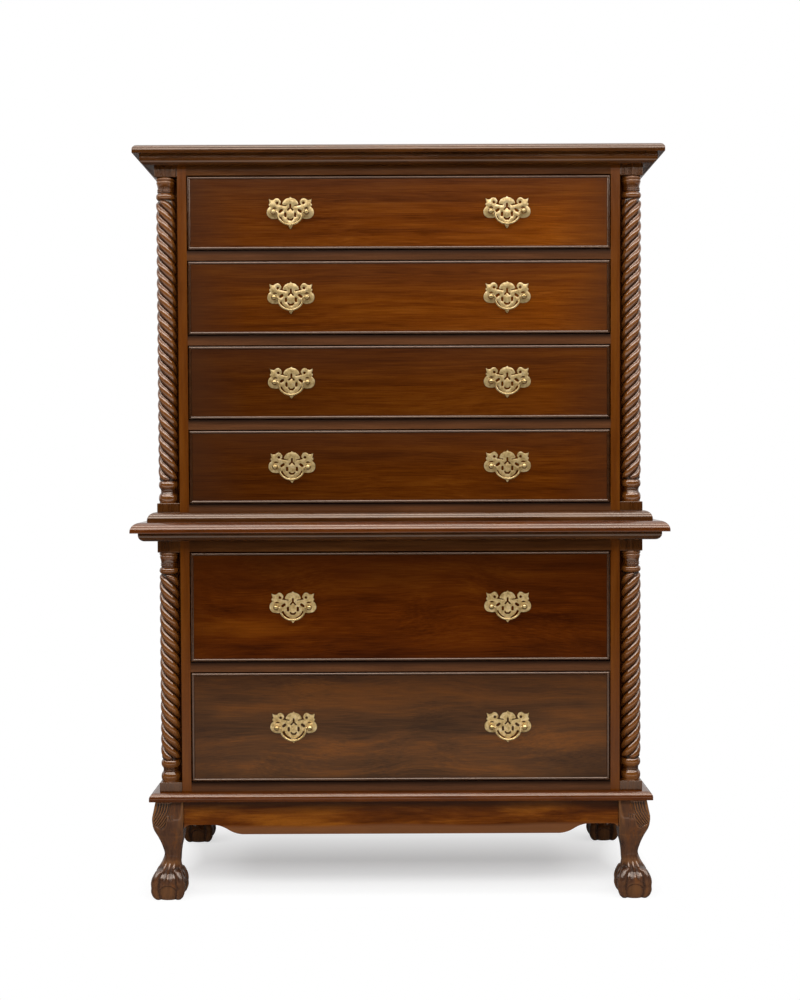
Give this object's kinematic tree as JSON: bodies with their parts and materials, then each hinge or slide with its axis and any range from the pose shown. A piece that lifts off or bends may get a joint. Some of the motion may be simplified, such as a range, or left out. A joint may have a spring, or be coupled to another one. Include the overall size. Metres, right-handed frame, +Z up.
{
  "type": "chest-on-chest",
  "caption": "Flat-fronted mahogany chest-on-chest with rope-twist corner columns, claw-and-ball feet and pierced brass bail pulls on its sliding drawers.",
  "frame": {"origin": "on the floor, under the middle of the whole chest", "axes": "+Z up, front towards -Y, right-hand side towards +X"},
  "size_m": [1.0392, 0.4952, 1.467],
  "materials": {
    "case_mahogany": "dark reddish-brown mahogany, satin polish",
    "carved_mahogany": "turned and carved mahogany, polished, lighter on the raised edges",
    "drawer_front_mahogany": "figured mahogany with grain along the drawer, satin polish",
    "drawer_lining_wood": "planed bare oak, unpolished",
    "inner_wood": "planed bare pine and oak, unpolished",
    "pull_brass": "cast brass, aged, with bright edges",
    "bail_brass": "cast brass, aged, rubbed bright by hands"
  },
  "bodies": {
    "carcase": {"base_board": "case_mahogany", "corner_blocks": "inner_wood", "cornice_moulding": "case_mahogany", "drawer_stops": "inner_wood", "front_apron": "case_mahogany", "leg_back_left": "carved_mahogany", "leg_back_right": "carved_mahogany", "leg_front_left": "carved_mahogany", "leg_front_right": "carved_mahogany", "lower_back": "inner_wood", "lower_column_left": "carved_mahogany", "lower_column_right": "carved_mahogany", "lower_face_frame": "case_mahogany", "lower_runners": "inner_wood", "lower_side_left": "case_mahogany", "lower_side_right": "case_mahogany", "rear_apron": "inner_wood", "side_apron_left": "case_mahogany", "side_apron_right": "case_mahogany", "top_board": "case_mahogany", "upper_back": "inner_wood", "upper_base_board": "case_mahogany", "upper_column_left": "carved_mahogany", "upper_column_right": "carved_mahogany", "upper_face_frame": "case_mahogany", "upper_runners": "inner_wood", "upper_side_left": "case_mahogany", "upper_side_right": "case_mahogany", "waist_board": "case_mahogany", "waist_moulding": "case_mahogany"},
    "drawer_1": {"drawer_1_front": "drawer_front_mahogany", "drawer_1_box": "drawer_lining_wood", "drawer_1_pull_plates": "pull_brass"},
    "drawer_2": {"drawer_2_front": "drawer_front_mahogany", "drawer_2_box": "drawer_lining_wood", "drawer_2_pull_plates": "pull_brass"},
    "drawer_3": {"drawer_3_front": "drawer_front_mahogany", "drawer_3_box": "drawer_lining_wood", "drawer_3_pull_plates": "pull_brass"},
    "drawer_4": {"drawer_4_front": "drawer_front_mahogany", "drawer_4_box": "drawer_lining_wood", "drawer_4_pull_plates": "pull_brass"},
    "drawer_5": {"drawer_5_front": "drawer_front_mahogany", "drawer_5_box": "drawer_lining_wood", "drawer_5_pull_plates": "pull_brass"},
    "drawer_6": {"drawer_6_front": "drawer_front_mahogany", "drawer_6_box": "drawer_lining_wood", "drawer_6_pull_plates": "pull_brass"},
    "drawer_1_bail_left": {"drawer_1_bail_left": "bail_brass"},
    "drawer_1_bail_right": {"drawer_1_bail_right": "bail_brass"},
    "drawer_2_bail_left": {"drawer_2_bail_left": "bail_brass"},
    "drawer_2_bail_right": {"drawer_2_bail_right": "bail_brass"},
    "drawer_3_bail_left": {"drawer_3_bail_left": "bail_brass"},
    "drawer_3_bail_right": {"drawer_3_bail_right": "bail_brass"},
    "drawer_4_bail_left": {"drawer_4_bail_left": "bail_brass"},
    "drawer_4_bail_right": {"drawer_4_bail_right": "bail_brass"},
    "drawer_5_bail_left": {"drawer_5_bail_left": "bail_brass"},
    "drawer_5_bail_right": {"drawer_5_bail_right": "bail_brass"},
    "drawer_6_bail_left": {"drawer_6_bail_left": "bail_brass"},
    "drawer_6_bail_right": {"drawer_6_bail_right": "bail_brass"}
  },
  "joints": [
    {"name": "drawer_1_slide", "type": "slide", "parent": "carcase", "child": "drawer_1", "axis": [0, -1, 0], "range_m": [0, 0.36]},
    {"name": "drawer_2_slide", "type": "slide", "parent": "carcase", "child": "drawer_2", "axis": [0, -1, 0], "range_m": [0, 0.36]},
    {"name": "drawer_3_slide", "type": "slide", "parent": "carcase", "child": "drawer_3", "axis": [0, -1, 0], "range_m": [0, 0.36]},
    {"name": "drawer_4_slide", "type": "slide", "parent": "carcase", "child": "drawer_4", "axis": [0, -1, 0], "range_m": [0, 0.36]},
    {"name": "drawer_5_slide", "type": "slide", "parent": "carcase", "child": "drawer_5", "axis": [0, -1, 0], "range_m": [0, 0.36]},
    {"name": "drawer_6_slide", "type": "slide", "parent": "carcase", "child": "drawer_6", "axis": [0, -1, 0], "range_m": [0, 0.36]},
    {"name": "drawer_1_bail_left_swing", "type": "hinge", "parent": "drawer_1", "child": "drawer_1_bail_left", "pos_m": [-0.21, -0.2135, 1.3417], "axis": [-1, 0, 0], "range_deg": [-15, 165]},
    {"name": "drawer_1_bail_right_swing", "type": "hinge", "parent": "drawer_1", "child": "drawer_1_bail_right", "pos_m": [0.21, -0.2135, 1.3417], "axis": [-1, 0, 0], "range_deg": [-15, 165]},
    {"name": "drawer_2_bail_left_swing", "type": "hinge", "parent": "drawer_2", "child": "drawer_2_bail_left", "pos_m": [-0.21, -0.2135, 1.1775], "axis": [-1, 0, 0], "range_deg": [-15, 165]},
    {"name": "drawer_2_bail_right_swing", "type": "hinge", "parent": "drawer_2", "child": "drawer_2_bail_right", "pos_m": [0.21, -0.2135, 1.1775], "axis": [-1, 0, 0], "range_deg": [-15, 165]},
    {"name": "drawer_3_bail_left_swing", "type": "hinge", "parent": "drawer_3", "child": "drawer_3_bail_left", "pos_m": [-0.21, -0.2135, 1.0133], "axis": [-1, 0, 0], "range_deg": [-15, 165]},
    {"name": "drawer_3_bail_right_swing", "type": "hinge", "parent": "drawer_3", "child": "drawer_3_bail_right", "pos_m": [0.21, -0.2135, 1.0133], "axis": [-1, 0, 0], "range_deg": [-15, 165]},
    {"name": "drawer_4_bail_left_swing", "type": "hinge", "parent": "drawer_4", "child": "drawer_4_bail_left", "pos_m": [-0.21, -0.2135, 0.8491], "axis": [-1, 0, 0], "range_deg": [-15, 165]},
    {"name": "drawer_4_bail_right_swing", "type": "hinge", "parent": "drawer_4", "child": "drawer_4_bail_right", "pos_m": [0.21, -0.2135, 0.8491], "axis": [-1, 0, 0], "range_deg": [-15, 165]},
    {"name": "drawer_5_bail_left_swing", "type": "hinge", "parent": "drawer_5", "child": "drawer_5_bail_left", "pos_m": [-0.21, -0.2135, 0.5751], "axis": [-1, 0, 0], "range_deg": [-15, 165]},
    {"name": "drawer_5_bail_right_swing", "type": "hinge", "parent": "drawer_5", "child": "drawer_5_bail_right", "pos_m": [0.21, -0.2135, 0.5751], "axis": [-1, 0, 0], "range_deg": [-15, 165]},
    {"name": "drawer_6_bail_left_swing", "type": "hinge", "parent": "drawer_6", "child": "drawer_6_bail_left", "pos_m": [-0.21, -0.2135, 0.3389], "axis": [-1, 0, 0], "range_deg": [-15, 165]},
    {"name": "drawer_6_bail_right_swing", "type": "hinge", "parent": "drawer_6", "child": "drawer_6_bail_right", "pos_m": [0.21, -0.2135, 0.3389], "axis": [-1, 0, 0], "range_deg": [-15, 165]}
  ]
}
